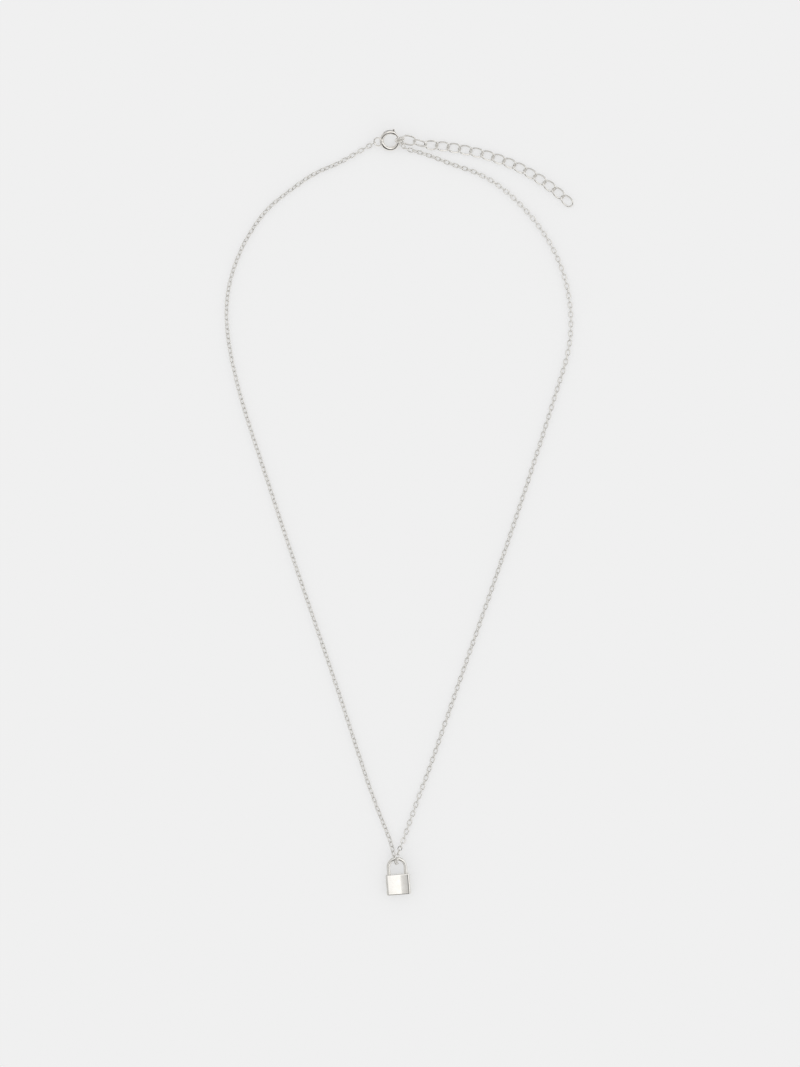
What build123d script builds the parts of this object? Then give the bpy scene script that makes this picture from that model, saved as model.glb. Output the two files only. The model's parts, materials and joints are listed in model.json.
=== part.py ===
from build123d import *
from math import asin, cos, degrees, pi, radians, sin, sqrt, tan
import os

# A padlock pendant necklace of polished silver, lying open on a flat surface.
# Millimetres. +Z is up from the surface, +Y runs from the padlock to the clasp.
# The origin is on the surface, under the middle of the necklace's box.

# Padlock body
body_width = 6.7
body_height = 5.7
body_thickness = 2.4
face_crown = 0.12
side_edge_radius = 0.65
end_edge_radius = 0.3
body_turn = 4.8
body_roll = 3.0

# Padlock shackle and the sockets that its feet stand in
shackle_wire = 1.1
shackle_half_span = 2.3
shackle_rise = 4.67
foot_depth = 1.2
foot_radial_gap = 0.04
foot_end_gap = 0.05
socket_chamfer = 0.12
shackle_side_shift = 0.1
shackle_chain_gap = 0.29

# Cable chain
chain_diameter = 1.3
chain_link_wire = 0.3
chain_link_length = 1.9
chain_pass_gap = 0.2
chain_bend_share = 0.45
end_link_play = 0.07

# Spring ring clasp
ring_outside = 5.8
ring_tube = 1.25
ring_wall = 0.25
ring_x = -2.3
ring_y = 100.4
ring_tilt = 20.0
gap_from = 14.0
gap_to = 56.0
socket_from = 2.0
bore_to = 166.0
rim_chamfer = 0.08

# Bolt and thumb lever of the clasp
bolt_clearance = 0.05
bolt_tail = 100.0
bolt_travel = 53.0
tip_gap = 0.06
lever_angle = 72.0
lever_neck = 0.24
lever_length = 0.62
lever_width = 0.7
lever_thickness = 0.4
lever_gap = 0.06
lever_round = 0.14
slot_clearance = 0.05

# Eyelet soldered to the side of the clasp
eyelet_outside = 2.6
eyelet_wire = 0.4
eyelet_angle = 184.0
eyelet_reach = 3.3
eyelet_height = 0.36
eyelet_lean = 18.0
eyelet_hook_angle = 200.0

# Round ring that the clasp is fastened to, leaning against the clasp
connector_outside = 3.0
connector_wire = 0.4
connector_clasp_gap = 0.2
connector_clasp_angle = 6.0
connector_lean = 30.0
connector_heading = 16.0
connector_chain_angle = 66.0
connector_extender_angle = 15.0
connector_extender_play = 0.16

# Extender chain: its first link lies open, its second one stands on its side
extender_links = 16
extender_length = 4.07
extender_width = 2.75
extender_wire = 0.45
extender_twist = 42.0
extender_play = 0.06
extender_bends_per_end = 6
extender_bend_share = 0.49
first_link_heading = -12.0
first_link_roll = 6.0
second_link_heading = -16.0
second_link_roll = 62.0

# Directions in which the two end links of the cable chain leave their rings
left_end_direction = Vector(-0.82, -0.43, -0.38).normalized()
right_end_direction = Vector(0.1, -0.9, -0.45).normalized()

# Route of the cable chain, from the left end link down to the padlock, through its shackle
# and up to the right end link
chain_route = [
    (-7.8, 99.2, 0.66),
    (-10.9, 97.4, 0.65),
    (-16.1, 94.4, 0.65),
    (-23.1, 91.6, 0.65),
    (-29.3, 87.1, 0.65),
    (-35.5, 82.2, 0.65),
    (-40.3, 75.6, 0.65),
    (-44.0, 68.1, 0.65),
    (-46.6, 58.3, 0.65),
    (-46.3, 47.2, 0.65),
    (-43.0, 32.0, 0.65),
    (-36.7, 12.7, 0.65),
    (-27.4, -15.6, 0.65),
    (-16.2, -48.1, 0.65),
    (-9.0, -70.8, 0.65),
    (-4.9, -82.0, 0.65),
    (-2.5, -87.6, 0.65),
    (-1.6, -90.9, 0.65),
    (-0.75, -94.55, 0.65),
    (-0.55, -94.45, 3.45),
    (-0.35, -91.6, 3.4),
    (1.0, -89.1, 0.65),
    (2.3, -85.3, 0.65),
    (4.7, -78.6, 0.65),
    (8.9, -67.3, 0.65),
    (16.6, -44.8, 0.65),
    (27.0, -15.2, 0.65),
    (35.7, 10.9, 0.65),
    (42.3, 31.9, 0.65),
    (46.4, 44.8, 0.65),
    (46.6, 56.4, 0.65),
    (43.8, 67.5, 0.65),
    (38.7, 76.7, 0.65),
    (31.5, 84.9, 0.65),
    (23.6, 91.0, 0.65),
    (14.7, 94.0, 0.65),
    (7.6, 96.75, 0.65),
    (4.4, 97.65, 0.65),
    (2.6, 98.1, 0.8),
    (1.35, 98.4, 1.2),
    (1.0, 98.9, 1.6),
]

# Line over the surface that the extender's joints follow, counted from its third link's start
extender_route = [
    (0.0, 0.0),
    (3.1, -0.2),
    (9.4, -1.1),
    (21.4, -4.4),
    (29.9, -8.65),
    (40.0, -16.9),
]


def round_sweep(path, wire):
    """Round wire of the given diameter along an edge or a wire."""
    section = Plane(path @ 0, z_dir=path % 0) * Circle(wire / 2)
    return sweep(section, path=path)


def oval_link(length, width, wire):
    """Flat link with straight sides and round ends, its long axis along X."""
    end_radius = (width - wire) / 2
    side = (length - width) / 2
    path = Wire(
        [
            Edge.make_line((-side, -end_radius, 0), (side, -end_radius, 0)),
            Edge.make_three_point_arc(
                (side, -end_radius, 0), (side + end_radius, 0, 0), (side, end_radius, 0)
            ),
            Edge.make_line((side, end_radius, 0), (-side, end_radius, 0)),
            Edge.make_three_point_arc(
                (-side, end_radius, 0), (-side - end_radius, 0, 0), (-side, -end_radius, 0)
            ),
        ]
    )
    return round_sweep(path, wire)


def corner_radii(points, share):
    """One radius for each inner corner, so that its bend takes the same share of the shorter run."""
    radii = []
    for before, corner, after in zip(points, points[1:], points[2:]):
        run_in = Vector(corner) - Vector(before)
        run_out = Vector(after) - Vector(corner)
        half_turn = radians(run_in.get_angle(run_out)) / 2
        radii.append(share * min(run_in.length, run_out.length) / tan(half_turn))
    return radii


def twisted_link(length, width, wire, twist, bends):
    """Oval link whose two ends are rolled opposite ways about its long axis, as in a curb chain."""
    half_length = (length - wire) / 2
    half_width = (width - wire) / 2
    spread = 180 / bends
    outside = 1 / cos(radians(spread / 2))
    corners = []
    for number in range(bends):
        angle = radians(spread * (number + 0.5) - 90)
        x = half_length * outside * cos(angle)
        y = half_width * outside * sin(angle)
        roll = radians(twist) * x / half_length
        corners.append(Vector(x, y * cos(roll), y * sin(roll)))
    line = [Vector(0, corners[0].Y, 0), *corners, Vector(0, corners[-1].Y, 0)]
    path = FilletPolyline(*line, radius=corner_radii(line, extender_bend_share))
    half = round_sweep(path, wire)
    return half + Rot(Z=180) * half


def ring_arc(major, minor, start, stop):
    """Round bar bent to a circle about Z, from one angle to the other."""
    section = Plane.XZ * Pos(major, 0) * Circle(minor)
    return Rot(Z=start) * revolve(section, Axis.Z, stop - start)


def padlock_body_local():
    """Body standing on its lower edge along +Y, its flat back on z = 0, its front crowned."""
    half = body_width / 2
    shoulder = body_thickness - face_crown
    outline = Wire(
        [
            Edge.make_line((-half, 0, 0), (half, 0, 0)),
            Edge.make_line((half, 0, 0), (half, 0, shoulder)),
            Edge.make_three_point_arc(
                (half, 0, shoulder), (0, 0, body_thickness), (-half, 0, shoulder)
            ),
            Edge.make_line((-half, 0, shoulder), (-half, 0, 0)),
        ]
    )
    block = extrude(Face(outline), amount=body_height, dir=(0, 1, 0))
    long_edges = block.edges().filter_by(Axis.Y)
    block = fillet(long_edges, side_edge_radius)
    end_faces = block.faces().sort_by(Axis.Y)
    rims = end_faces[0].edges() + end_faces[-1].edges()
    block = fillet(rims, end_edge_radius)
    top = Plane((0, body_height, body_thickness / 2), x_dir=(1, 0, 0), z_dir=(0, 1, 0))
    hole_radius = shackle_wire / 2 + foot_radial_gap
    for side in (-1, 1):
        mouth = top * Pos(side * shackle_half_span, 0)
        block -= mouth * Pos(0, 0, -foot_depth / 2) * Cylinder(hole_radius, foot_depth)
        block -= (
            mouth
            * Pos(0, 0, -socket_chamfer / 2)
            * Cone(hole_radius, hole_radius + socket_chamfer, socket_chamfer)
        )
    return block


def padlock_shackle_local():
    """Hoop of round wire, its feet down in the sockets of the body."""
    foot = body_height - foot_depth + foot_end_gap
    arch_middle = body_height + shackle_rise - shackle_wire / 2 - shackle_half_span
    level = body_thickness / 2
    path = Wire(
        [
            Edge.make_line((-shackle_half_span, foot, level), (-shackle_half_span, arch_middle, level)),
            Edge.make_three_point_arc(
                (-shackle_half_span, arch_middle, level),
                (0, arch_middle + shackle_half_span, level),
                (shackle_half_span, arch_middle, level),
            ),
            Edge.make_line((shackle_half_span, arch_middle, level), (shackle_half_span, foot, level)),
        ]
    )
    return round_sweep(path, shackle_wire)


def padlock_pitch():
    """Angle that lifts the shackle until the chain passes under its wire."""
    wire_level = chain_diameter + chain_pass_gap + shackle_wire / 2
    side_lift = (body_width / 2 - side_edge_radius) * sin(radians(body_roll))
    reach = body_height + shackle_rise - shackle_wire / 2
    return degrees(asin((wire_level - body_thickness / 2 - side_lift) / reach))


def padlock():
    """Body and shackle as they lie: the shackle round the chain's bend, the body on z = 0."""
    turn = Rot(Z=body_turn) * Rot(X=padlock_pitch()) * Rot(Y=-body_roll)
    body = turn * padlock_body_local()
    arch_inside = turn * Pos(0, body_height + shackle_rise - shackle_wire, body_thickness / 2)
    bend_x, bend_y, _ = min(chain_route, key=lambda point: point[1])
    lay = Pos(
        bend_x + shackle_side_shift - arch_inside.position.X,
        bend_y + chain_diameter / 2 + shackle_chain_gap - arch_inside.position.Y,
        -body.bounding_box().min.Z,
    )
    return lay * body, lay * turn * padlock_shackle_local()


def clasp_frame():
    """Frame of the spring ring: its middle, with Z along its axis."""
    centre_line = (ring_outside - ring_tube) / 2
    height = centre_line * sin(radians(ring_tilt)) + ring_tube / 2
    return Pos(ring_x, ring_y, height) * Rot(X=ring_tilt)


def eyelet_frame():
    """Frame of the eyelet in the clasp's own frame."""
    angle = radians(eyelet_angle)
    place = Pos(eyelet_reach * cos(angle), eyelet_reach * sin(angle), eyelet_height)
    return place * Rot(Y=-eyelet_lean)


def spring_ring_case():
    """Hollow ring with a gap, a socket for the bolt's tip, a slot for the lever and an eyelet."""
    centre_line = (ring_outside - ring_tube) / 2
    case = ring_arc(centre_line, ring_tube / 2, gap_to, 360 + gap_from)
    rims = case.edges().filter_by(GeomType.CIRCLE).filter_by(lambda rim: rim.radius < ring_tube)
    case = chamfer(rims, rim_chamfer)
    eyelet_line = (eyelet_outside - eyelet_wire) / 2
    case += eyelet_frame() * Torus(eyelet_line, eyelet_wire / 2)
    case -= ring_arc(centre_line, ring_tube / 2 - ring_wall, socket_from, bore_to)
    neck_half_angle = degrees(lever_neck / 2 / (ring_outside / 2))
    slot_play = degrees(slot_clearance / centre_line)
    slot_half_width = lever_neck / 2 + slot_clearance
    slot = Plane.XZ * Pos(ring_outside / 2, 0) * Rectangle(ring_tube, 2 * slot_half_width)
    slot_start = lever_angle - neck_half_angle - slot_play
    slot_stop = lever_angle + bolt_travel + neck_half_angle + slot_play
    case -= Rot(Z=slot_start) * revolve(slot, Axis.Z, slot_stop - slot_start)
    return clasp_frame() * case


def spring_ring_bolt():
    """Bolt with a round tip, and the lever that stands out through the slot."""
    centre_line = (ring_outside - ring_tube) / 2
    radius = ring_tube / 2 - ring_wall - bolt_clearance
    tip = socket_from + degrees((radius + tip_gap) / centre_line)
    bolt = ring_arc(centre_line, radius, tip, bolt_tail)
    bolt += Rot(Z=tip) * Pos(centre_line, 0, 0) * Sphere(radius)
    neck_length = ring_tube / 2 + lever_gap + lever_thickness / 2
    outward = Rot(Z=lever_angle) * Pos(centre_line, 0, 0) * Rot(Y=90)
    bolt += outward * Pos(0, 0, neck_length / 2) * Cylinder(lever_neck / 2, neck_length)
    pad = Box(lever_width, lever_length, lever_thickness)
    pad = fillet(pad.edges(), lever_round)
    pad_place = ring_tube / 2 + lever_gap + lever_thickness / 2
    bolt += outward * Pos(0, 0, pad_place) * pad
    return clasp_frame() * bolt


def connector_frame():
    """Frame of the round ring: X along its level diameter, Y up its slope."""
    centre_line = (connector_outside - connector_wire) / 2
    height = centre_line * cos(radians(connector_lean)) + connector_wire / 2
    held, _ = on_ring(clasp_frame(), (ring_outside - ring_tube) / 2, connector_clasp_angle)
    shift = centre_line - connector_wire / 2 - ring_tube / 2 - connector_clasp_gap
    heading = radians(connector_heading)
    place = Pos(held.X + shift * cos(heading), held.Y + shift * sin(heading), height)
    return place * Rot(Z=connector_heading) * Rot(X=90 + connector_lean)


def on_ring(frame, centre_line, angle):
    """Point on a ring's centre line at an angle, and the direction of its wire there."""
    turned = frame * Rot(Z=angle)
    on = (turned * Pos(centre_line, 0, 0)).position
    beyond = (turned * Pos(centre_line, 1, 0)).position
    return on, (beyond - on).normalized()


def hooked_link(on, across, away, held_wire):
    """Chain link that holds the wire at a point and leads away from it."""
    half = (chain_link_length - chain_link_wire) / 2
    middle = on + away * (half - held_wire / 2 - chain_link_wire / 2 - end_link_play)
    normal = (across - away * across.dot(away)).normalized()
    place = Plane(middle, x_dir=away, z_dir=normal)
    return place * oval_link(chain_link_length, chain_diameter, chain_link_wire)


def left_end_link():
    """Last link on the left, through the eyelet of the clasp."""
    eyelet_line = (eyelet_outside - eyelet_wire) / 2
    on, across = on_ring(clasp_frame() * eyelet_frame(), eyelet_line, eyelet_hook_angle)
    return hooked_link(on, across, left_end_direction, eyelet_wire)


def right_end_link():
    """Last link on the right, through the round ring."""
    centre_line = (connector_outside - connector_wire) / 2
    on, across = on_ring(connector_frame(), centre_line, connector_chain_angle)
    return hooked_link(on, across, right_end_direction, connector_wire)


def cable_chain():
    """The cable chain's outer form: a round tube along its route."""
    radii = corner_radii(chain_route, chain_bend_share)
    path = FilletPolyline(*chain_route, radius=radii)
    chain = round_sweep(path, chain_diameter)
    print("chain corner radii", [round(radius, 1) for radius in radii])
    section_area = pi * chain_diameter**2 / 4
    print("chain length", round(path.length, 1))
    print("chain volume", round(chain.volume, 2), "of", round(section_area * path.length, 2))
    return chain


def next_joint(joint, heading, height):
    """Joint a pitch away, in a heading over the surface and at a height."""
    pitch = extender_length - 2 * extender_wire - extender_play
    rise = height - joint.Z
    reach = sqrt(pitch**2 - rise**2)
    return joint + Vector(reach * cos(radians(heading)), reach * sin(radians(heading)), rise)


def extender_joints(lying_height):
    """Points where the ring and the links of the extender meet each other, a pitch apart."""
    pitch = extender_length - 2 * extender_wire - extender_play
    centre_line = (connector_outside - connector_wire) / 2
    inset = (connector_wire + connector_extender_play) / 2
    half_width = (extender_width - extender_wire) / 2
    standing_height = half_width * sin(radians(second_link_roll)) + extender_wire / 2
    first, _ = on_ring(connector_frame(), centre_line - inset, connector_extender_angle)
    second = next_joint(first, first_link_heading, standing_height)
    third = next_joint(second, second_link_heading, standing_height)
    drop = standing_height - lying_height
    line = Spline([third + Vector(x, y, -drop) for x, y in extender_route])
    joints = [first, second, third]
    for number in range(extender_links - 2):
        along = sqrt(pitch**2 - drop**2) + number * pitch
        joints.append(line.position_at(along, position_mode=PositionMode.LENGTH))
    return joints


def extender_chain():
    """Two flat links that lead away from the ring, then links twisted to lie flat."""
    flat = oval_link(extender_length, extender_width, extender_wire)
    twisted = twisted_link(
        extender_length, extender_width, extender_wire, extender_twist, extender_bends_per_end
    )
    first_links = [Rot(X=first_link_roll) * flat, Rot(X=second_link_roll) * flat]
    joints = extender_joints(twisted.bounding_box().max.Z)
    links = []
    for number, (start, stop) in enumerate(zip(joints, joints[1:])):
        along = (stop - start).normalized()
        up = (Vector(0, 0, 1) - along * along.Z).normalized()
        place = Plane((start + stop) / 2, x_dir=along, z_dir=up)
        links.append(place * (first_links[number] if number < len(first_links) else twisted))
    return links


def main():
    os.makedirs("parts", exist_ok=True)
    body, shackle = padlock()
    connector = Torus((connector_outside - connector_wire) / 2, connector_wire / 2)
    nodes = {
        "padlock_body": body,
        "padlock_shackle": shackle,
        "cable_chain": cable_chain(),
        "chain_end_link_left": left_end_link(),
        "chain_end_link_right": right_end_link(),
        "spring_ring_case": spring_ring_case(),
        "spring_ring_bolt": spring_ring_bolt(),
        "connector_ring": connector_frame() * connector,
    }
    for number, link in enumerate(extender_chain(), start=1):
        nodes[f"extender_link_{number:02d}"] = link
    for name, shape in nodes.items():
        export_step(shape, f"parts/{name}.step")
    return nodes


if __name__ == "__main__":
    main()
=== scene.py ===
import json
import math
import random

import bpy
import numpy as np
from mathutils import Matrix, Vector


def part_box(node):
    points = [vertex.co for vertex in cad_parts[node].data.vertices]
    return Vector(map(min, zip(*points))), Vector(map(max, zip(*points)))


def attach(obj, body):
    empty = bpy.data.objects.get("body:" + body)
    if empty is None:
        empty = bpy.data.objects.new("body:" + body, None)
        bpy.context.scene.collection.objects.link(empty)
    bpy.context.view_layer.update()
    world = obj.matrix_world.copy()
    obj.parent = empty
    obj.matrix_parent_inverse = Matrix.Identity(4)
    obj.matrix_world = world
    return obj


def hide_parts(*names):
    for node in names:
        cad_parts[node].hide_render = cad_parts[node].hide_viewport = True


# A padlock pendant necklace of polished silver, lying open on a pale surface.
# Metres. +Z is up from the surface, +Y runs from the padlock to the clasp.
MM = 0.001
QUARTER = math.pi / 2

# Padlock body; a narrow strip next to its rounded ends keeps the shading of its face flat
BODY_WIDTH = 6.7 * MM
BODY_HEIGHT = 5.7 * MM
BODY_THICKNESS = 2.4 * MM
FACE_CROWN = 0.12 * MM
SIDE_EDGE_RADIUS = 0.65 * MM
END_EDGE_RADIUS = 0.3 * MM
FLAT_START = 0.05 * MM
BODY_TURN = math.radians(4.8)
BODY_ROLL = math.radians(3.0)
ROUNDING_STEPS = 8
CROWN_STEPS = 32
BODY_SHARP_ANGLE = math.radians(35)

# Padlock shackle
SHACKLE_WIRE = 1.1 * MM
SHACKLE_HALF_SPAN = 2.3 * MM
SHACKLE_RISE = 4.67 * MM
FOOT_DEPTH = 1.2 * MM
FOOT_RADIAL_GAP = 0.04 * MM
FOOT_END_GAP = 0.05 * MM
SOCKET_CHAMFER = 0.12 * MM
SOCKET_SIDES = 48
LEG_STEPS = 12
ARCH_STEPS = 56
HOOP_SIDES = 40
HOOP_SHARP_ANGLE = math.radians(50)

# Cable chain
CHAIN_WIDTH = 1.3 * MM
CHAIN_PASS_GAP = 0.2 * MM
LINK_LENGTH = 1.9 * MM
LINK_WIRE = 0.3 * MM
LINK_PITCH = 1.287 * MM
LINK_SEGMENTS = 26
LINK_SIDES = 10
ROUTE_STEPS = 48

# Extender: its first two links are flat, and the ends of the others are rolled opposite ways.
# Their outline is rounder than a rectangle and fuller than an ellipse, whose squareness would be 2.
EXTENDER_LINKS = 16
FLAT_LINKS = 2
EXTENDER_LENGTH = 4.07 * MM
EXTENDER_WIDTH = 2.75 * MM
EXTENDER_WIRE = 0.45 * MM
EXTENDER_TWIST = math.radians(35.0)
EXTENDER_SQUARENESS = 2.5
EXTENDER_SEGMENTS = 64
EXTENDER_SIDES = 16

# Route of the cable chain, from the left end link down to the padlock, through its shackle
# and up to the right end link, in millimetres
CHAIN_ROUTE = [
    (-7.8, 99.2, 0.66),
    (-10.9, 97.4, 0.65),
    (-16.1, 94.4, 0.65),
    (-23.1, 91.6, 0.65),
    (-29.3, 87.1, 0.65),
    (-35.5, 82.2, 0.65),
    (-40.3, 75.6, 0.65),
    (-44.0, 68.1, 0.65),
    (-46.6, 58.3, 0.65),
    (-46.3, 47.2, 0.65),
    (-43.0, 32.0, 0.65),
    (-36.7, 12.7, 0.65),
    (-27.4, -15.6, 0.65),
    (-16.2, -48.1, 0.65),
    (-9.0, -70.8, 0.65),
    (-4.9, -82.0, 0.65),
    (-2.5, -87.6, 0.65),
    (-1.6, -90.9, 0.65),
    (-0.75, -94.55, 0.65),
    (-0.55, -94.45, 3.45),
    (-0.35, -91.6, 3.4),
    (1.0, -89.1, 0.65),
    (2.3, -85.3, 0.65),
    (4.7, -78.6, 0.65),
    (8.9, -67.3, 0.65),
    (16.6, -44.8, 0.65),
    (27.0, -15.2, 0.65),
    (35.7, 10.9, 0.65),
    (42.3, 31.9, 0.65),
    (46.4, 44.8, 0.65),
    (46.6, 56.4, 0.65),
    (43.8, 67.5, 0.65),
    (38.7, 76.7, 0.65),
    (31.5, 84.9, 0.65),
    (23.6, 91.0, 0.65),
    (14.7, 94.0, 0.65),
    (7.6, 96.75, 0.65),
    (4.4, 97.65, 0.65),
    (2.6, 98.1, 0.8),
    (1.35, 98.4, 1.2),
    (1.0, 98.9, 1.6),
]

# How far the chain's links are rolled from lying flat: share of the chain's length from its left end,
# and degrees. At 45 all links look alike, and at 0 they are open and edge-on in turn.
CHAIN_ROLLS = [
    (0.03, 45),
    (0.30, 45),
    (0.44, 38),
    (0.50, 45),
    (0.56, 12),
    (0.70, 5),
    (0.80, 15),
    (0.86, 38),
    (0.93, 30),
    (0.97, 4),
    (0.99, 0),
]

# How far the rolls and the joints between links stray, the seeds of both, and how many parts the chain
# has, in the first and last of which the rolls' straying fades out
ROLL_SPREAD = math.radians(7)
ROLL_SEED = 7
SIDE_SPREAD = 0.03 * MM
SIDE_SEED = 11
FADE_PARTS = 20

# Joints higher than this are held up by other pieces, and this far from them the chain lies settled
LIFTED = 0.70 * MM
SETTLE_LENGTH = 6 * MM

# The photograph's frame: the height that it shows of the surface and its middle; the camera's height,
# its sensor's size in millimetres along the frame's height, and its nearest and farthest sight
VIEW_HEIGHT = 288.1 * MM
VIEW_CENTRE = Vector((0.35 * MM, -5.5 * MM, 0.0))
CAMERA_HEIGHT = 0.9
SENSOR = 36.0
CLIP_START = 0.01
CLIP_END = 20.0

# Surface: how pale it looks, how much of that is its own glow, its colour and half its width
FLOOR_LOOK = 0.871
FLOOR_GLOW = 0.45
FLOOR_TONE = 0.42
FLOOR_HALF = 3.0

# Cards that the polish reflects: their distance from the middle, lowest and highest edge, and how
# much red, green and blue their light has
CARD_DISTANCE = 2.0
CARD_LOW = -0.2
CARD_HIGH = 2.2
CARD_TINT = (1.0, 0.98, 0.955)

# Tones up the standing cards, and from left to right above: place along the card, and brightness
LEFT_TONES = [(0.0, 0.6), (0.12, 0.25), (0.2, 0.25), (0.28, 0.62), (1.0, 0.62)]
RIGHT_TONES = [(0.0, 0.9), (0.12, 0.2), (0.2, 0.2), (0.28, 0.95), (1.0, 1.0)]
FRONT_TONES = [(0.0, 0.85), (1.0, 0.9)]
BACK_TONES = [(0.0, 0.8), (0.12, 0.05), (0.42, 0.05), (0.52, 0.9), (1.0, 0.9)]
ABOVE_TONES = [(0.0, 0.6), (0.33, 0.6), (0.36, 1.0), (0.42, 1.1), (0.45, 1.15), (1.0, 1.15)]

# Grey and dark screens under the upper card: their height, their reach in X and Y, and tones along X.
# The dark one's front edge hangs down, between two heights.
SCREEN_HEIGHT = 2.0
GREY_X = (-0.114, 0.9)
GREY_Y = (-0.76, 0.0)
GREY_TONES = [(0.0, 0.84), (0.05, 0.74), (0.194, 0.56), (0.31, 0.3), (0.408, 0.12), (1.0, 0.08)]
DARK_X = (-1.1, 0.8)
DARK_Y = (-1.9, -0.76)
DARK_TONES = [(0.0, 0.05), (1.0, 0.05)]
DARK_FRONT_Z = (1.0, 2.0)

# Silver of each material slot: tone, roughness, fineness of its clouding and depth of its scratches
SILVERS = {
    "padlock_silver": ((0.94, 0.94, 0.925), 0.05, 700.0, 0.4e-6),
    # The chain's and extender's lower tones are painted shade: darker copies of the same silver, standing
    # in for the darker look of their small, crowded links.
    "chain_silver": ((0.87, 0.865, 0.85), 0.09, 1500.0, 0.6e-6),
    "clasp_silver": ((0.94, 0.93, 0.91), 0.07, 1200.0, 0.5e-6),
    "extender_silver": ((0.90, 0.895, 0.88), 0.08, 1200.0, 0.5e-6),
}

# Clouding: the noise levels between which it clears, its detail, what it leaves of the tone, and what
# shares of the slot's roughness its smoothest and roughest patches have
CLOUD_LEVELS = (0.3, 0.7)
CLOUD_DETAIL = 4.0
CLOUD_TONE = (0.93, 0.92, 0.90)
CLOUD_ROUGHNESS = (0.7, 1.5)

# Scratches: their direction, how they are drawn out, and how fine, varied and strong they are
SCRATCH_TURN = (0.3, 0.2, 0.6)
SCRATCH_STRETCH = (0.12, 1.0, 1.0)
SCRATCH_SCALE = 9000.0
SCRATCH_DETAIL = 3.0
SCRATCH_STRENGTH = 0.35


def mesh_object(name, vertices, faces, smooth=True):
    """New mesh object from its corners and faces."""
    mesh = bpy.data.meshes.new(name)
    mesh.from_pydata([tuple(v) for v in vertices], [], faces)
    mesh.update()
    mesh.polygons.foreach_set("use_smooth", [smooth] * len(mesh.polygons))
    piece = bpy.data.objects.new(name, mesh)
    bpy.context.scene.collection.objects.link(piece)
    return piece


def tube(points, radius, sides, closed, square):
    """Corners and faces of a round wire along the points, with each ring starting towards square."""
    count = len(points)
    tangents = []
    for i in range(count):
        before = points[i - 1] if closed or i > 0 else points[i]
        after = points[(i + 1) % count] if closed or i < count - 1 else points[i]
        tangents.append((after - before).normalized())
    vertices = []
    for i in range(count):
        normal = (square - tangents[i] * square.dot(tangents[i])).normalized()
        side = tangents[i].cross(normal)
        for k in range(sides):
            angle = 2 * math.pi * k / sides
            offset = normal * math.cos(angle) + side * math.sin(angle)
            vertices.append(points[i] + offset * radius)
    faces = []
    for i in range(count if closed else count - 1):
        here = i * sides
        there = ((i + 1) % count) * sides
        for k in range(sides):
            m = (k + 1) % sides
            faces.append((here + k, here + m, there + m, there + k))
    if not closed:
        faces.append(tuple(reversed(range(sides))))
        faces.append(tuple(range((count - 1) * sides, count * sides)))
    return vertices, faces


def oval_line(length, width, wire, count):
    """Points of a flat link's centre line, its long axis along X."""
    end_radius = (width - wire) / 2
    side = (length - width) / 2
    half_turn = math.pi * end_radius
    whole = 2 * half_turn + 4 * side
    points = []
    for step in range(count):
        along = whole * step / count
        if along < half_turn:
            angle = along / end_radius - QUARTER
            points.append(Vector((side + end_radius * math.cos(angle), end_radius * math.sin(angle), 0)))
        elif along < half_turn + 2 * side:
            points.append(Vector((side - (along - half_turn), end_radius, 0)))
        elif along < 2 * half_turn + 2 * side:
            angle = (along - half_turn - 2 * side) / end_radius + QUARTER
            points.append(Vector((-side + end_radius * math.cos(angle), end_radius * math.sin(angle), 0)))
        else:
            points.append(Vector((along - 2 * half_turn - 3 * side, -end_radius, 0)))
    return points


def route_line(points):
    """Finely spaced points along the smooth line that the route's points pull."""
    curve = bpy.data.curves.new("route", "CURVE")
    curve.dimensions = "3D"
    curve.resolution_u = ROUTE_STEPS
    spline = curve.splines.new("NURBS")
    spline.points.add(len(points) - 1)
    for slot, point in zip(spline.points, points):
        slot.co = (*point, 1.0)
    spline.order_u = 3
    spline.use_endpoint_u = True
    holder = bpy.data.objects.new("route", curve)
    mesh = bpy.data.meshes.new_from_object(holder)
    line = np.array([v.co[:] for v in mesh.vertices])
    bpy.data.meshes.remove(mesh)
    bpy.data.objects.remove(holder)
    bpy.data.curves.remove(curve)
    return line


def link_axes(node):
    """Middle of a CAD link, the direction along it and the direction square to its plane."""
    corners = np.array([v.co[:] for v in frame["nodes"][node].data.vertices])
    low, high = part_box(node)
    _, axes = np.linalg.eigh(np.cov(corners.T))
    return (low + high) / 2, Vector(axes[:, 2]), Vector(axes[:, 0])


def chain_ends():
    """Where the chain's first and last own links take hold of the end links, and their planes."""
    inside = LINK_LENGTH / 2 - LINK_WIRE - (LINK_LENGTH - 2 * LINK_WIRE - LINK_PITCH) / 2
    ends = []
    for node, neighbour in (
        ("chain_end_link_left", CHAIN_ROUTE[0]),
        ("chain_end_link_right", CHAIN_ROUTE[-1]),
    ):
        middle, along, square = link_axes(node)
        if along.dot(Vector(neighbour) * MM - middle) < 0:
            along = -along
        ends.append((middle + along * inside, square))
    return ends


def chain_joints():
    """Points where each link of the chain meets the next, a pitch apart along the route."""
    (start, _), (stop, _) = chain_ends()
    points = [start] + [Vector(p) * MM for p in CHAIN_ROUTE] + [stop]
    line = route_line(points)
    steps = np.linalg.norm(np.diff(line, axis=0), axis=1)
    gone = np.concatenate([[0.0], np.cumsum(steps)])
    count = round(gone[-1] / LINK_PITCH)
    wanted = np.linspace(0.0, gone[-1], count + 1)
    joints = np.stack([np.interp(wanted, gone, line[:, axis]) for axis in range(3)], axis=1)
    print("chain links", count, "pitch in mm", round(gone[-1] / count / MM, 4))
    return [Vector(joint) for joint in joints]


def travelling_ups(directions):
    """Upward direction at each link, carried along the chain with no twist of its own."""
    up = Vector((0, 0, 1))
    ups = []
    for direction in directions:
        up = (up - direction * up.dot(direction)).normalized()
        ups.append(up)
    return ups


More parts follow.
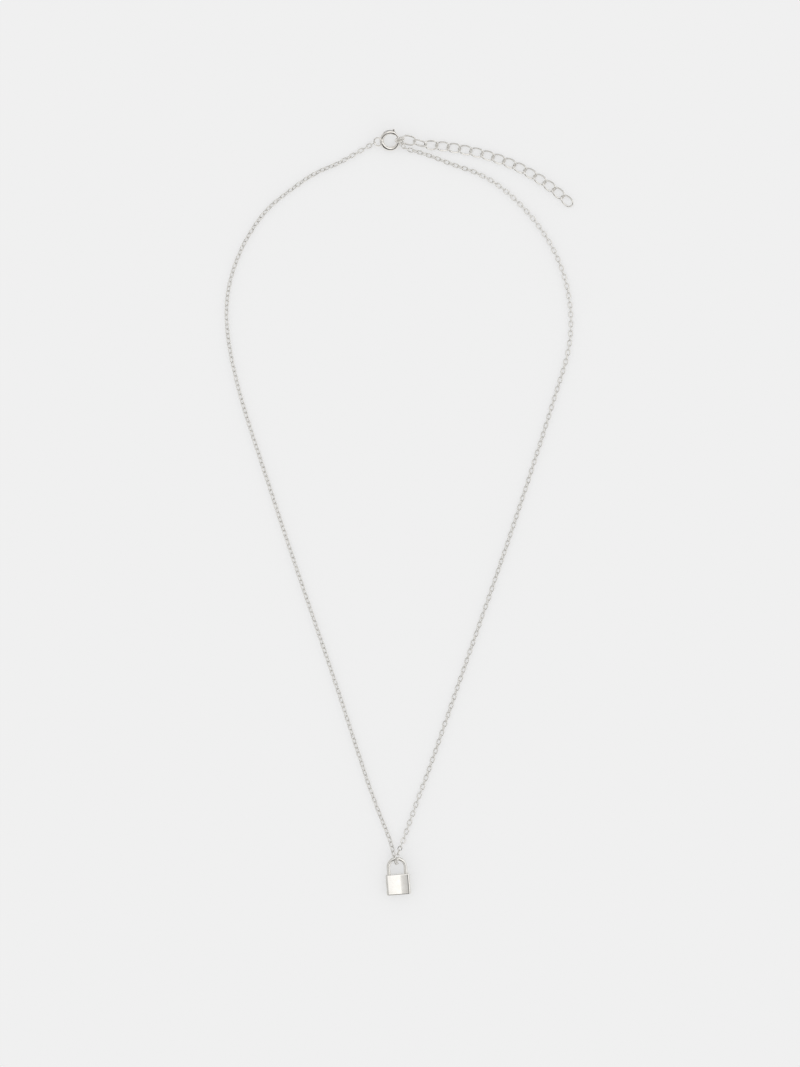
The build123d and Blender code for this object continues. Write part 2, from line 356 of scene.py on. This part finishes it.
def chain_rolls(directions, ups):
    """Roll of each link about the chain's line, square to the end links at both ends."""
    rng = random.Random(ROLL_SEED)
    count = len(directions)

    def roll_of(square, index):
        side = directions[index].cross(ups[index])
        return math.atan2(square.dot(side), square.dot(ups[index]))

    def nearest(roll, wanted):
        return roll + math.pi * round((wanted - roll) / math.pi)

    (_, start_square), (_, stop_square) = chain_ends()
    shares = [share for share, _ in CHAIN_ROLLS]
    rolls = [math.radians(degrees) for _, degrees in CHAIN_ROLLS]
    first = nearest(roll_of(start_square, 0) + QUARTER, rolls[0])
    last = nearest(roll_of(stop_square, count - 1) + QUARTER * (count % 2), rolls[-1])
    shares = [0.0] + shares + [1.0]
    rolls = [first] + rolls + [last]
    found = []
    for i in range(count):
        share = i / (count - 1)
        loose = min(1.0, FADE_PARTS * share, FADE_PARTS * (1 - share))
        roll = float(np.interp(share, shares, rolls)) + loose * rng.uniform(-ROLL_SPREAD, ROLL_SPREAD)
        found.append(roll + QUARTER * (i % 2))
    return found


def settle(joints, directions, ups, rolls):
    """Joints as the chain lies: lowered until each link rests on the surface, and shaken a little."""
    rng = random.Random(SIDE_SEED)
    half_heights = []
    for direction, up, roll in zip(directions, ups, rolls):
        square = up * math.cos(roll) + direction.cross(up) * math.sin(roll)
        tilt = math.sqrt(max(0.0, 1 - square.z**2))
        half_heights.append(LINK_WIRE / 2 + (CHAIN_WIDTH - LINK_WIRE) / 2 * tilt)
    lifted = [i for i, joint in enumerate(joints) if joint.z > LIFTED]
    lifted += [0, len(joints) - 1]
    settled = []
    for i, joint in enumerate(joints):
        away = min(abs(i - k) for k in lifted) * LINK_PITCH
        ease = min(1.0, away / SETTLE_LENGTH)
        left = half_heights[max(0, i - 1)]
        right = half_heights[min(len(rolls) - 1, i)]
        direction = directions[min(len(rolls) - 1, i)]
        across = Vector((-direction.y, direction.x, 0))
        moved = joint + across * (ease * rng.uniform(-SIDE_SPREAD, SIDE_SPREAD))
        moved.z += ease * (max(left, right) - joint.z)
        settled.append(moved)
    return settled


def chain_links():
    """The cable chain: round wire links, each a quarter turn from the last."""
    joints = chain_joints()
    directions = [(after - before).normalized() for before, after in zip(joints, joints[1:])]
    ups = travelling_ups(directions)
    rolls = chain_rolls(directions, ups)
    joints = settle(joints, directions, ups, rolls)
    base, base_faces = tube(
        oval_line(LINK_LENGTH, CHAIN_WIDTH, LINK_WIRE, LINK_SEGMENTS),
        LINK_WIRE / 2,
        LINK_SIDES,
        True,
        Vector((0, 0, 1)),
    )
    vertices = []
    faces = []
    for before, after, up, roll in zip(joints, joints[1:], ups, rolls):
        along = (after - before).normalized()
        up = (up - along * up.dot(along)).normalized()
        square = up * math.cos(roll) + along.cross(up) * math.sin(roll)
        across = square.cross(along)
        turn = Matrix((along, across, square)).transposed().to_4x4()
        place = Matrix.Translation((before + after) / 2) @ turn
        offset = len(vertices)
        vertices.extend(place @ corner for corner in base)
        faces.extend(tuple(offset + k for k in face) for face in base_faces)
    piece = mesh_object("cable_chain_links", vertices, faces)
    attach(piece, "necklace")
    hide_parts("cable_chain")
    return piece


def extender_line(twist):
    """Points of an extender link's centre line, its long axis along X, its two ends rolled apart."""
    half_length = (EXTENDER_LENGTH - EXTENDER_WIRE) / 2
    half_width = (EXTENDER_WIDTH - EXTENDER_WIRE) / 2
    power = 2 / EXTENDER_SQUARENESS
    points = []
    for step in range(EXTENDER_SEGMENTS):
        angle = 2 * math.pi * step / EXTENDER_SEGMENTS
        x = half_length * math.copysign(abs(math.cos(angle)) ** power, math.cos(angle))
        y = half_width * math.copysign(abs(math.sin(angle)) ** power, math.sin(angle))
        roll = twist * x / half_length
        points.append(Vector((x, y * math.cos(roll), y * math.sin(roll))))
    return points


def extender():
    """The extender's links, standing for their CAD solids and lying as those do."""
    pieces = []
    for number in range(1, EXTENDER_LINKS + 1):
        node = f"extender_link_{number:02d}"
        middle, along, square = link_axes(node)
        turn = Matrix((along, square.cross(along), square)).transposed().to_4x4()
        line = extender_line(0.0 if number <= FLAT_LINKS else EXTENDER_TWIST)
        vertices, faces = tube(line, EXTENDER_WIRE / 2, EXTENDER_SIDES, True, Vector((0, 0, 1)))
        piece = mesh_object(f"extender_wire_{number:02d}", vertices, faces)
        piece.data.transform(Matrix.Translation(middle) @ turn)
        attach(piece, "necklace")
        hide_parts(node)
        pieces.append(piece)
    return pieces


def padlock_pitch():
    """Angle that lifts the shackle until the chain passes under its wire."""
    wire_level = CHAIN_WIDTH + CHAIN_PASS_GAP + SHACKLE_WIRE / 2
    side_lift = (BODY_WIDTH / 2 - SIDE_EDGE_RADIUS) * math.sin(BODY_ROLL)
    reach = BODY_HEIGHT + SHACKLE_RISE - SHACKLE_WIRE / 2
    return math.asin((wire_level - BODY_THICKNESS / 2 - side_lift) / reach)


def padlock_place(body):
    """Frame of the padlock as it lies: its body fills the box of the CAD body."""
    turn = Matrix.Rotation(BODY_TURN, 4, "Z") @ Matrix.Rotation(padlock_pitch(), 4, "X")
    turn = turn @ Matrix.Rotation(-BODY_ROLL, 4, "Y")
    corners = np.array([(turn @ corner.co)[:] for corner in body.data.vertices])
    middle = (corners.min(axis=0) + corners.max(axis=0)) / 2
    low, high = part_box("padlock_body")
    return Matrix.Translation((low + high) / 2 - Vector(middle)) @ turn


def padlock_section():
    """Outline of the body's section and its outward directions: flat back, crowned front."""
    half = BODY_WIDTH / 2
    radius = SIDE_EDGE_RADIUS
    crown_radius = (half**2 + FACE_CROWN**2) / (2 * FACE_CROWN)
    crown_middle = BODY_THICKNESS - crown_radius
    lean = math.asin((half - radius) / (crown_radius - radius))
    corner = crown_middle + (crown_radius - radius) * math.cos(lean)
    inner = half - radius
    arcs = [
        (inner, radius, radius, -QUARTER, 0.0),
        (inner, corner, radius, 0.0, QUARTER - lean),
        (0.0, crown_middle, crown_radius, QUARTER - lean, QUARTER + lean),
        (-inner, corner, radius, QUARTER + lean, 2 * QUARTER),
        (-inner, radius, radius, 2 * QUARTER, 3 * QUARTER),
    ]
    outline = []
    outward = []
    for x, z, size, start, stop in arcs:
        crown = size == crown_radius
        count = CROWN_STEPS if crown else ROUNDING_STEPS
        for step in range(1, count) if crown else range(count + 1):
            angle = start + (stop - start) * step / count
            outline.append((x + size * math.cos(angle), z + size * math.sin(angle)))
            outward.append((math.cos(angle), math.sin(angle)))
    return outline, outward


def padlock_block():
    """Body of the padlock, standing on its lower edge: rounded edges, crowned front, two sockets."""
    outline, outward = padlock_section()
    count = len(outline)
    rows = []
    for step in range(ROUNDING_STEPS + 1):
        angle = QUARTER * step / ROUNDING_STEPS
        rows.append((END_EDGE_RADIUS * (1 - math.cos(angle)), END_EDGE_RADIUS * (1 - math.sin(angle))))
    rows.append((END_EDGE_RADIUS + FLAT_START, 0.0))
    rows += [(BODY_HEIGHT - y, inset) for y, inset in reversed(rows)]
    vertices = []
    for y, inset in rows:
        for (x, z), (out_x, out_z) in zip(outline, outward):
            vertices.append(Vector((x - out_x * inset, y, z - out_z * inset)))
    faces = []
    for row in range(len(rows) - 1):
        here = row * count
        there = here + count
        for k in range(count):
            m = (k + 1) % count
            faces.append((here + m, here + k, there + k, there + m))
    faces.append(tuple(range(count)))
    faces.append(tuple(reversed(range((len(rows) - 1) * count, len(rows) * count))))
    body = mesh_object("padlock_block", vertices, faces)
    cut_sockets(body)
    body.data.set_sharp_from_angle(angle=BODY_SHARP_ANGLE)
    return body


def cut_sockets(body):
    """Cut the two round sockets with their small chamfers into the top of the block."""
    radius = SHACKLE_WIRE / 2 + FOOT_RADIAL_GAP
    sides = SOCKET_SIDES
    profile = [
        (radius, BODY_HEIGHT - FOOT_DEPTH),
        (radius, BODY_HEIGHT - SOCKET_CHAMFER),
        (radius + SOCKET_CHAMFER, BODY_HEIGHT),
        (radius + SOCKET_CHAMFER, BODY_HEIGHT + SHACKLE_WIRE),
    ]
    for side in (-1, 1):
        vertices = []
        for r, y in profile:
            for k in range(sides):
                angle = 2 * math.pi * k / sides
                x = side * SHACKLE_HALF_SPAN + r * math.cos(angle)
                vertices.append(Vector((x, y, BODY_THICKNESS / 2 + r * math.sin(angle))))
        faces = []
        for row in range(len(profile) - 1):
            here = row * sides
            there = here + sides
            for k in range(sides):
                m = (k + 1) % sides
                faces.append((here + k, there + k, there + m, here + m))
        faces.append(tuple(range(sides)))
        faces.append(tuple(reversed(range((len(profile) - 1) * sides, len(profile) * sides))))
        cutter = mesh_object("socket_cutter", vertices, faces)
        cut = body.modifiers.new("socket", "BOOLEAN")
        cut.operation = "DIFFERENCE"
        cut.solver = "EXACT"
        cut.object = cutter
        depsgraph = bpy.context.evaluated_depsgraph_get()
        carved = bpy.data.meshes.new_from_object(body.evaluated_get(depsgraph))
        body.modifiers.clear()
        body.data = carved
        bpy.data.objects.remove(cutter)


def padlock_hoop():
    """Hoop of round wire, its feet down in the sockets of the body."""
    foot = BODY_HEIGHT - FOOT_DEPTH + FOOT_END_GAP
    arch_middle = BODY_HEIGHT + SHACKLE_RISE - SHACKLE_WIRE / 2 - SHACKLE_HALF_SPAN
    level = BODY_THICKNESS / 2
    points = []
    for step in range(LEG_STEPS):
        y = foot + (arch_middle - foot) * step / LEG_STEPS
        points.append(Vector((-SHACKLE_HALF_SPAN, y, level)))
    for step in range(ARCH_STEPS + 1):
        angle = math.pi - math.pi * step / ARCH_STEPS
        x = SHACKLE_HALF_SPAN * math.cos(angle)
        points.append(Vector((x, arch_middle + SHACKLE_HALF_SPAN * math.sin(angle), level)))
    for step in range(LEG_STEPS):
        y = arch_middle + (foot - arch_middle) * (step + 1) / LEG_STEPS
        points.append(Vector((SHACKLE_HALF_SPAN, y, level)))
    vertices, faces = tube(points, SHACKLE_WIRE / 2, HOOP_SIDES, False, Vector((0, 0, 1)))
    hoop = mesh_object("padlock_hoop", vertices, faces)
    hoop.data.set_sharp_from_angle(angle=HOOP_SHARP_ANGLE)
    return hoop


def padlock():
    """Body and hoop as they lie, standing for their CAD solids."""
    block = padlock_block()
    hoop = padlock_hoop()
    place = padlock_place(block)
    for piece, node in ((block, "padlock_body"), (hoop, "padlock_shackle")):
        piece.data.transform(place)
        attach(piece, "necklace")
        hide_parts(node)
    return block, hoop


def silver(name, tone, roughness, cloud_scale, scratch_depth):
    """Polished silver: faint warm clouding, patchy polish and fine scratches."""
    material = bpy.data.materials.new(name)
    material.use_nodes = True
    nodes = material.node_tree.nodes
    links = material.node_tree.links
    shader = nodes["Principled BSDF"]
    shader.inputs["Metallic"].default_value = 1.0
    where = nodes.new("ShaderNodeTexCoord")

    cloud = nodes.new("ShaderNodeTexNoise")
    cloud.inputs["Scale"].default_value = cloud_scale
    cloud.inputs["Detail"].default_value = CLOUD_DETAIL
    links.new(where.outputs["Object"], cloud.inputs["Vector"])
    tint = nodes.new("ShaderNodeValToRGB")
    clouded, clear = tint.color_ramp.elements
    clouded.position, clear.position = CLOUD_LEVELS
    clouded.color = (*[whole * share for whole, share in zip(tone, CLOUD_TONE)], 1)
    clear.color = (*tone, 1)
    links.new(cloud.outputs["Fac"], tint.inputs["Fac"])
    links.new(tint.outputs["Color"], shader.inputs["Base Color"])

    polish = nodes.new("ShaderNodeMapRange")
    polish.inputs["From Min"].default_value = CLOUD_LEVELS[0]
    polish.inputs["From Max"].default_value = CLOUD_LEVELS[1]
    polish.inputs["To Min"].default_value = roughness * CLOUD_ROUGHNESS[0]
    polish.inputs["To Max"].default_value = roughness * CLOUD_ROUGHNESS[1]
    links.new(cloud.outputs["Fac"], polish.inputs["Value"])
    links.new(polish.outputs["Result"], shader.inputs["Roughness"])

    stretch = nodes.new("ShaderNodeMapping")
    stretch.inputs["Rotation"].default_value = SCRATCH_TURN
    stretch.inputs["Scale"].default_value = SCRATCH_STRETCH
    links.new(where.outputs["Object"], stretch.inputs["Vector"])
    scratch = nodes.new("ShaderNodeTexNoise")
    scratch.inputs["Scale"].default_value = SCRATCH_SCALE
    scratch.inputs["Detail"].default_value = SCRATCH_DETAIL
    links.new(stretch.outputs["Vector"], scratch.inputs["Vector"])
    bump = nodes.new("ShaderNodeBump")
    bump.inputs["Strength"].default_value = SCRATCH_STRENGTH
    bump.inputs["Distance"].default_value = scratch_depth
    links.new(scratch.outputs["Fac"], bump.inputs["Height"])
    links.new(bump.outputs["Normal"], shader.inputs["Normal"])
    return material


def dress(piece, material):
    """Give a piece one material."""
    piece.data.materials.clear()
    piece.data.materials.append(material)


def floor():
    """The plain pale surface that the necklace lies on."""
    half = FLOOR_HALF
    corners = [Vector((x, y, 0)) for x, y in ((-half, -half), (half, -half), (half, half), (-half, half))]
    surface = mesh_object("surface", corners, [(0, 1, 2, 3)], smooth=False)
    material = bpy.data.materials.new("pale_paper")
    material.use_nodes = True
    shader = material.node_tree.nodes["Principled BSDF"]
    shader.inputs["Base Color"].default_value = (FLOOR_TONE, FLOOR_TONE, FLOOR_TONE, 1)
    shader.inputs["Emission Color"].default_value = (1, 1, 1, 1)
    shader.inputs["Emission Strength"].default_value = FLOOR_GLOW
    shader.inputs["Roughness"].default_value = 1.0
    shader.inputs["Specular IOR Level"].default_value = 0.0
    surface.data.materials.append(material)


def daylight():
    """Even white light from every side."""
    world = bpy.data.worlds.new("daylight")
    bpy.context.scene.world = world
    world.use_nodes = True
    sky = world.node_tree.nodes["Background"]
    sky.inputs["Color"].default_value = (1, 1, 1, 1)
    sky.inputs["Strength"].default_value = (FLOOR_LOOK - FLOOR_GLOW) / FLOOR_TONE


def glowing_cloth(name, thing, tones, axis):
    """Card whose glow runs through the given tones along one axis, seen only by polished metal."""
    material = bpy.data.materials.new(name)
    material.use_nodes = True
    nodes = material.node_tree.nodes
    links = material.node_tree.links
    nodes.clear()
    output = nodes.new("ShaderNodeOutputMaterial")
    glow = nodes.new("ShaderNodeEmission")
    where = nodes.new("ShaderNodeTexCoord")
    split = nodes.new("ShaderNodeSeparateXYZ")
    ramp = nodes.new("ShaderNodeValToRGB")
    links.new(where.outputs["Generated"], split.inputs["Vector"])
    links.new(split.outputs[axis], ramp.inputs["Fac"])
    links.new(ramp.outputs["Color"], glow.inputs["Color"])
    links.new(glow.outputs["Emission"], output.inputs["Surface"])
    marks = ramp.color_ramp.elements
    while len(marks) < len(tones):
        marks.new(0.5)
    for mark, (place, tone) in zip(marks, tones):
        mark.position = place
        mark.color = (*[tone * share for share in CARD_TINT], 1)
    thing.data.materials.append(material)
    thing.visible_camera = False
    thing.visible_diffuse = False
    thing.visible_transmission = False
    thing.visible_volume_scatter = False
    thing.visible_shadow = False


def card(name, x, y, z, tones, axis):
    """Flat glowing card between two limits in X, Y and Z, one pair of which is a single value."""
    if z[0] == z[1]:
        corners = [(x[0], y[0], z[0]), (x[1], y[0], z[0]), (x[1], y[1], z[0]), (x[0], y[1], z[0])]
    else:
        corners = [(x[0], y[0], z[0]), (x[1], y[1], z[0]), (x[1], y[1], z[1]), (x[0], y[0], z[1])]
    thing = mesh_object(name, [Vector(corner) for corner in corners], [(0, 1, 2, 3)], smooth=False)
    glowing_cloth(name, thing, tones, axis)


def reflection_cards():
    """Cards round the necklace that give the polished metal its bright and dark streaks."""
    whole = (-CARD_DISTANCE, CARD_DISTANCE)
    left = (-CARD_DISTANCE, -CARD_DISTANCE)
    right = (CARD_DISTANCE, CARD_DISTANCE)
    rise = (CARD_LOW, CARD_HIGH)
    card("card_left", left, whole, rise, LEFT_TONES, "Z")
    card("card_right", right, whole, rise, RIGHT_TONES, "Z")
    card("card_front", whole, left, rise, FRONT_TONES, "Z")
    card("card_back", whole, right, rise, BACK_TONES, "Z")
    card("card_above", whole, whole, (CARD_HIGH, CARD_HIGH), ABOVE_TONES, "X")
    level = (SCREEN_HEIGHT, SCREEN_HEIGHT)
    card("card_grey", GREY_X, GREY_Y, level, GREY_TONES, "X")
    card("card_dark", DARK_X, DARK_Y, level, DARK_TONES, "X")
    card("card_dark_front", DARK_X, (DARK_Y[0], DARK_Y[0]), DARK_FRONT_Z, DARK_TONES, "X")


def camera():
    """Camera straight above the necklace, framing it as the photograph does."""
    data = bpy.data.cameras.new("camera")
    data.sensor_width = SENSOR
    data.lens = SENSOR * CAMERA_HEIGHT / VIEW_HEIGHT
    data.clip_start = CLIP_START
    data.clip_end = CLIP_END
    holder = bpy.data.objects.new("camera", data)
    holder.location = VIEW_CENTRE + Vector((0, 0, CAMERA_HEIGHT))
    bpy.context.scene.collection.objects.link(holder)
    bpy.context.scene.camera = holder


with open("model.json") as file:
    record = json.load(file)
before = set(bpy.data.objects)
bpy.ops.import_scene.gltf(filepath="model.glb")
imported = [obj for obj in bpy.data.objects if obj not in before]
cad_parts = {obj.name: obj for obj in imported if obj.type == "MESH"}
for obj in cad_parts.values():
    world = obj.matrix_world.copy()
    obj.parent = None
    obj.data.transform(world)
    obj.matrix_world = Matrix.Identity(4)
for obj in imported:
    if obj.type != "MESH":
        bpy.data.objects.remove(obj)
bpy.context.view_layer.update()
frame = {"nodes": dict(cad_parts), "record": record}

camera()
floor()
daylight()
reflection_cards()

silvers = {slot: silver(slot, *look) for slot, look in SILVERS.items()}
dress(chain_links(), silvers["chain_silver"])
for piece in padlock():
    dress(piece, silvers["padlock_silver"])
for piece in extender():
    dress(piece, silvers["extender_silver"])
for row in frame["record"]["subparts"]:
    dress(frame["nodes"][row["node"]], silvers[row["material_slot"]])

bpy.context.scene.view_settings.view_transform = "Standard"
